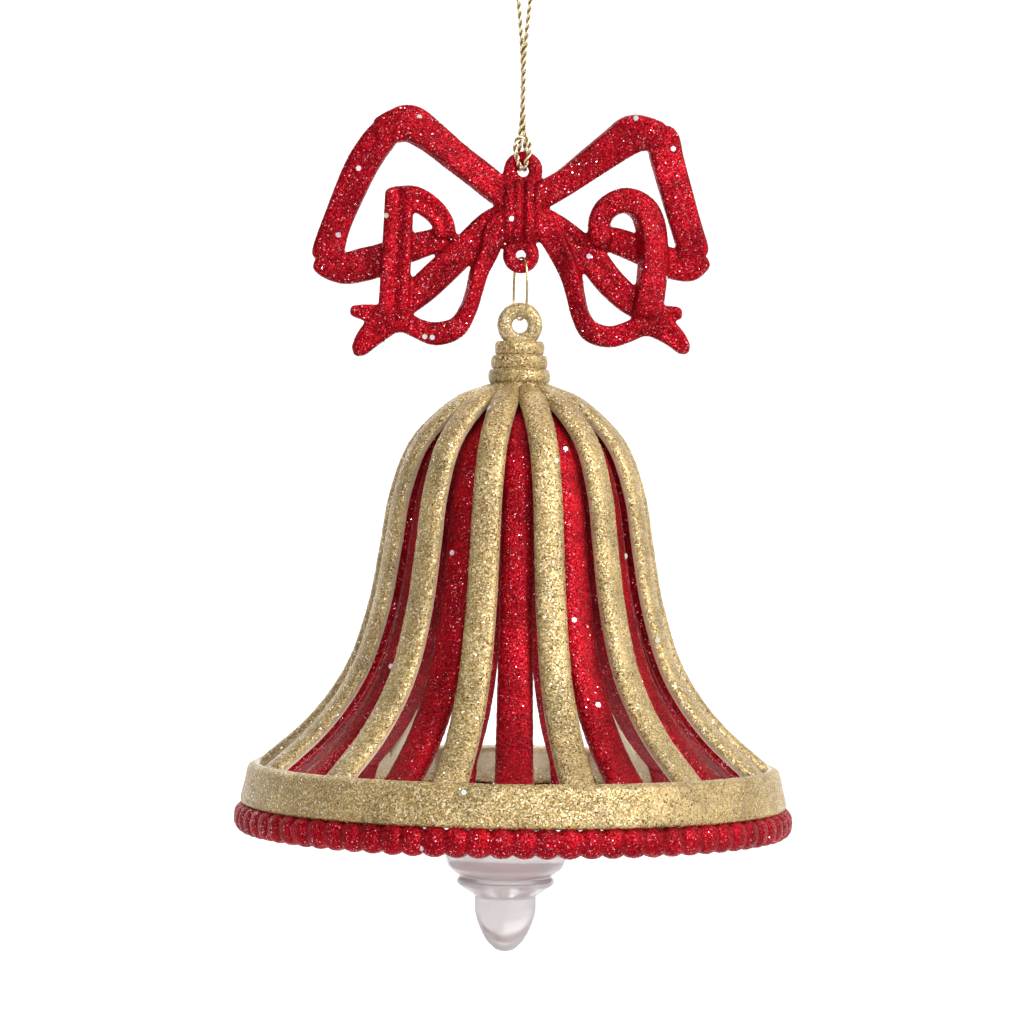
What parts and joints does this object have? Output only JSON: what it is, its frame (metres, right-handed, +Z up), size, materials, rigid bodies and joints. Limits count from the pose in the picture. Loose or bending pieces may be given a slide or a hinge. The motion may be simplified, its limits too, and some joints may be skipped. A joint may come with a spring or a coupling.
{
  "type": "christmas bell ornament",
  "caption": "Hanging bell ornament: a red cage nested in a gold cage, under a bow on a cord loop, with a clear drop clapper.",
  "frame": {"origin": "inside top of the cord loop, where a twig or a hook holds the ornament", "axes": "+Z up along the bell's axis, -Y towards the front of the bow, +X to the right"},
  "size_m": [0.0833, 0.0834, 0.1816],
  "materials": {
    "red_glitter": "glitter coating",
    "gold_glitter": "glitter coating",
    "gold_cord": "metallic yarn",
    "gold_wire": "polished",
    "clear_acrylic": "clear moulded"
  },
  "bodies": {
    "cord": {"hanging_cord": "gold_cord", "cord_knot": "gold_cord"},
    "bow": {"bow": "red_glitter"},
    "link": {"wire_link": "gold_wire"},
    "bell": {"outer_bell": "gold_glitter", "inner_bell": "red_glitter"},
    "clapper": {"clapper_pin": "gold_wire", "clapper_drop": "clear_acrylic"}
  },
  "joints": [
    {"name": "bow_swing", "type": "hinge", "parent": "cord", "child": "bow", "pos_m": [0, 0, -0.0576], "axis": [0, 1, 0], "range_deg": [-30, 30]},
    {"name": "link_rock", "type": "hinge", "parent": "bow", "child": "link", "pos_m": [0, 0, -0.0702], "axis": [1, 0, 0], "range_deg": [-8, 8]},
    {"name": "bell_swing", "type": "hinge", "parent": "link", "child": "bell", "pos_m": [0, 0, -0.0807], "axis": [0, 1, 0], "range_deg": [-25, 25]},
    {"name": "clapper_swing", "type": "hinge", "parent": "bell", "child": "clapper", "pos_m": [-0.001, 0, -0.0964], "axis": [0, 1, 0], "range_deg": [-23, 23]}
  ]
}
